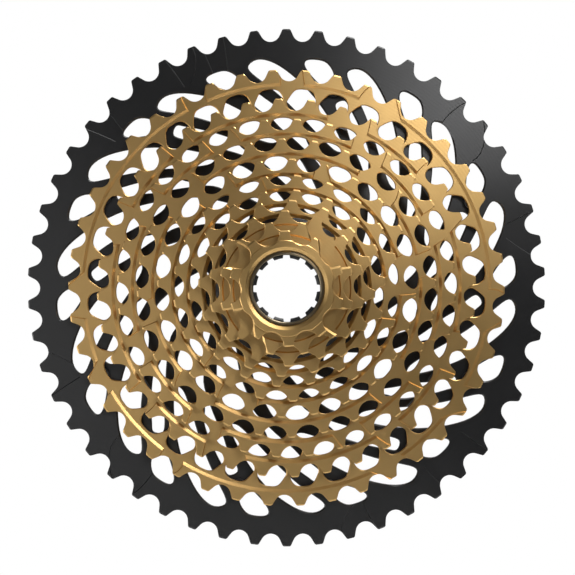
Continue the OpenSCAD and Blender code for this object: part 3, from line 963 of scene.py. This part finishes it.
def tube_row(z, r, tip_z=None, tip_r=None):
    """One row round the tube. With a tip height and radius, it follows the tool socket."""
    points = []
    for clock, at_tip in SOCKET_POINTS:
        high, wide = (tip_z, tip_r) if at_tip and tip_r else (z, r)
        points.append((*at(clock, wide), high))
    return points


def thread_row(z, fade):
    """One row round the thread, whose height is faded out where fade is below 1."""
    points = []
    for clock, _ in SOCKET_POINTS:
        phase = (z / THREAD_PITCH - clock / 360) % 1.0
        wave = min(1.0, max(0.0, CREST_SLOPE * (1 - abs(2 * phase - 1)) - CREST_START))
        points.append(at(clock, THREAD_R + THREAD_DEPTH * wave * fade))
    return row(points, z)


def outside_rows(back, front):
    """From the tube's rear end over its shoulder and the ring's groove to its front face."""
    shoulder = back_z(SOLID_FROM) - GAP
    groove_top = RING_BACK + RING_T
    profile = [(REAR_R - REAR_EDGE, back), (REAR_R, back + REAR_EDGE), (REAR_R, shoulder - SHOULDER_EDGE),
               (REAR_R - SHOULDER_EDGE, shoulder), (TUBE_R, shoulder), (TUBE_R, RING_BACK),
               (GROOVE_R, RING_BACK), (GROOVE_R, groove_top), (TUBE_R, groove_top),
               (TUBE_R, front - FRONT_EDGE), (TUBE_R - FRONT_EDGE, front)]
    return [tube_row(z, r) for r, z in profile]


def socket_rows(front):
    """From the front face down the lip and the tool socket to the relief."""
    face = front - LIP_H
    bevel = face - TOOL_EDGE_H
    floor = front - TOOL_DEPTH
    return [tube_row(front, NOTCH_R + LIP_EDGE), tube_row(front - LIP_EDGE, NOTCH_R),
            tube_row(face, NOTCH_R), tube_row(face - STEP_GAP, NOTCH_R, face, TOOL_R + TOOL_EDGE),
            tube_row(bevel, NOTCH_R, bevel, TOOL_R), tube_row(floor, NOTCH_R, floor, TOOL_R),
            tube_row(floor - STEP_GAP, RELIEF_R)]


def thread_rows(back):
    """From the relief down the thread, which fades in over one turn, to the rear end."""
    top = back + THREAD_L
    rows = [tube_row(top + RELIEF_H, RELIEF_R)]
    steps = int(THREAD_L / THREAD_PITCH * TURN_STEPS)
    for s in range(steps + 1):
        z = top - (THREAD_L - THREAD_END) * s / steps
        rows.append(thread_row(z, min(1.0, s / TURN_STEPS)))
    rows.append(tube_row(back, THREAD_R + THREAD_DEPTH + THREAD_MOUTH))
    return rows


def lockring_tube():
    """Tube with the tool socket in front and the thread inside its rear end."""
    front = front_of("lockring_tube")
    back = back_of("lockring_tube")
    rows = outside_rows(back, front) + socket_rows(front) + thread_rows(back)
    piece = looped("lockring_tube_piece", rows)
    finish_piece(piece, "lockring", tube_black, ["lockring_tube"])
    piece.data.materials.append(ring_steel)
    for face in piece.data.polygons:
        if face.center.y < (BARE_FRONT - front) * MM:
            face.material_index = 1
    return piece


def retaining_ring():
    """Split ring of square wire with cut corners."""
    z0, z1 = RING_BACK, RING_BACK + RING_T
    inner, outer, c = GROOVE_R, RING_R, RING_EDGE
    section = [(inner + c, z0), (outer - c, z0), (outer, z0 + c), (outer, z1 - c), (outer - c, z1),
               (inner + c, z1), (inner, z1 - c), (inner, z0 + c)]
    rows = []
    for s in range(RING_STEPS + 1):
        clock = RING_SPLIT / 2 + (360 - RING_SPLIT) * s / RING_STEPS
        rows.append([(*at(clock, r), z) for r, z in section])
    verts, faces = [], []
    starts = skin(verts, faces, rows)
    for start in (starts[0], starts[-1]):
        faces.append(tuple(start + k for k in range(len(section))))
    piece = mesh_object("retaining_ring_piece", verts, faces)
    return finish_piece(piece, "lockring", ring_steel, ["retaining_ring"])


for i in range(1, LAST):
    steel_sprocket(i)
smallest_sprocket()
alloy_sprocket()
drive_pins()
lockring_tube()
retaining_ring()


# ---------------------------------------------------------------- stage
# Floor, with its height in metres, its colours and a dim world light
FLOOR_Z = -0.32
FLOOR_R = 700
FLOOR_T = 4
FLOOR_STEPS = 96
FLOOR_PATCHES = 6.0
FLOOR_TONES = [(0.3, (0.80, 0.80, 0.79, 1)), (0.7, (0.84, 0.84, 0.83, 1))]
FLOOR_ROUGHNESS = 0.7
WORLD_LIGHT = 0.07
# Camera, with its place in metres and its small turns in degrees
EYE_DISTANCE = 469.0
EYE_X = -0.00072
EYE_Z = 0.00224
EYE_TILT = 0.251
EYE_TURN = -0.132
LENS = 74.3
SENSOR = 36
CLIP_START = 0.01
# Lamps: degrees off the axle's line and round the clock, distance and size in metres, watts
LAMPS = {"key": (37, 42, 1.0, 0.4, 5.8), "fill": (32, 262, 1.0, 0.8, 1.1),
         "low_edge": (80, 218, 1.0, 0.6, 8), "left_edge": (80, 262, 1.0, 0.6, 3.8),
         "high_edge": (79, 17, 1.0, 0.5, 9), "right_edge": (75, 55, 1.0, 0.6, 1.2),
         "back": (142, 16, 1.16, 0.7, 5)}


def area_light(name, off_axis, clock, distance, size, power):
    """Round lamp aimed at the hub."""
    off, turn = math.radians(off_axis), math.radians(clock)
    place = Vector((math.sin(off) * math.sin(turn), -math.cos(off), math.sin(off) * math.cos(turn)))
    data = bpy.data.lights.new(name, "AREA")
    data.shape = "DISK"
    data.size = size
    data.energy = power
    light = bpy.data.objects.new(name, data)
    light.location = place * distance
    light.rotation_euler = (-place).to_track_quat("-Z", "Y").to_euler()
    scene.collection.objects.link(light)


def pale_floor():
    """Disc below the object and out of the front view."""
    edge = ring(FLOOR_R, FLOOR_STEPS)
    piece = slab("floor", [([row(edge, 0), row(edge, FLOOR_T)], [])])
    piece.rotation_euler = (math.radians(90), 0, 0)
    piece.location = (0, 0, FLOOR_Z)
    n = Nodes("pale_floor")
    tone = n.noise(n.position(), FLOOR_PATCHES)
    n.link(n.ramp(tone, FLOOR_TONES), n.shader.inputs["Base Color"])
    n.shader.inputs["Roughness"].default_value = FLOOR_ROUGHNESS
    piece.data.materials.append(n.material)


def background(tree, strength):
    """White background shader of one strength."""
    node = tree.nodes.new("ShaderNodeBackground")
    node.inputs["Color"].default_value = (1, 1, 1, 1)
    node.inputs["Strength"].default_value = strength
    return node.outputs["Background"]


def world_light():
    """White to the camera, dim grey as a light, so the lamps do the modelling."""
    sky = bpy.data.worlds.new("studio")
    scene.world = sky
    sky.use_nodes = True
    tree = sky.node_tree
    tree.nodes.clear()
    out = tree.nodes.new("ShaderNodeOutputWorld")
    path = tree.nodes.new("ShaderNodeLightPath")
    mix = tree.nodes.new("ShaderNodeMixShader")
    tree.links.new(path.outputs["Is Camera Ray"], mix.inputs["Fac"])
    tree.links.new(background(tree, WORLD_LIGHT), mix.inputs[1])
    tree.links.new(background(tree, 1.0), mix.inputs[2])
    tree.links.new(mix.outputs["Shader"], out.inputs["Surface"])


def camera():
    """On the axle's line, as far from the large sprocket as the view calls for."""
    data = bpy.data.cameras.new("camera")
    data.sensor_width = SENSOR
    data.lens = LENS
    data.clip_start = CLIP_START
    eye = bpy.data.objects.new("camera", data)
    eye.location = (EYE_X, -(middle_z(0) + EYE_DISTANCE) * MM, EYE_Z)
    eye.rotation_euler = (math.radians(90 - EYE_TILT), 0, math.radians(EYE_TURN))
    scene.collection.objects.link(eye)
    scene.camera = eye


pale_floor()
world_light()
camera()
for name, values in LAMPS.items():
    area_light(name, *values)
scene.view_settings.view_transform = "Standard"
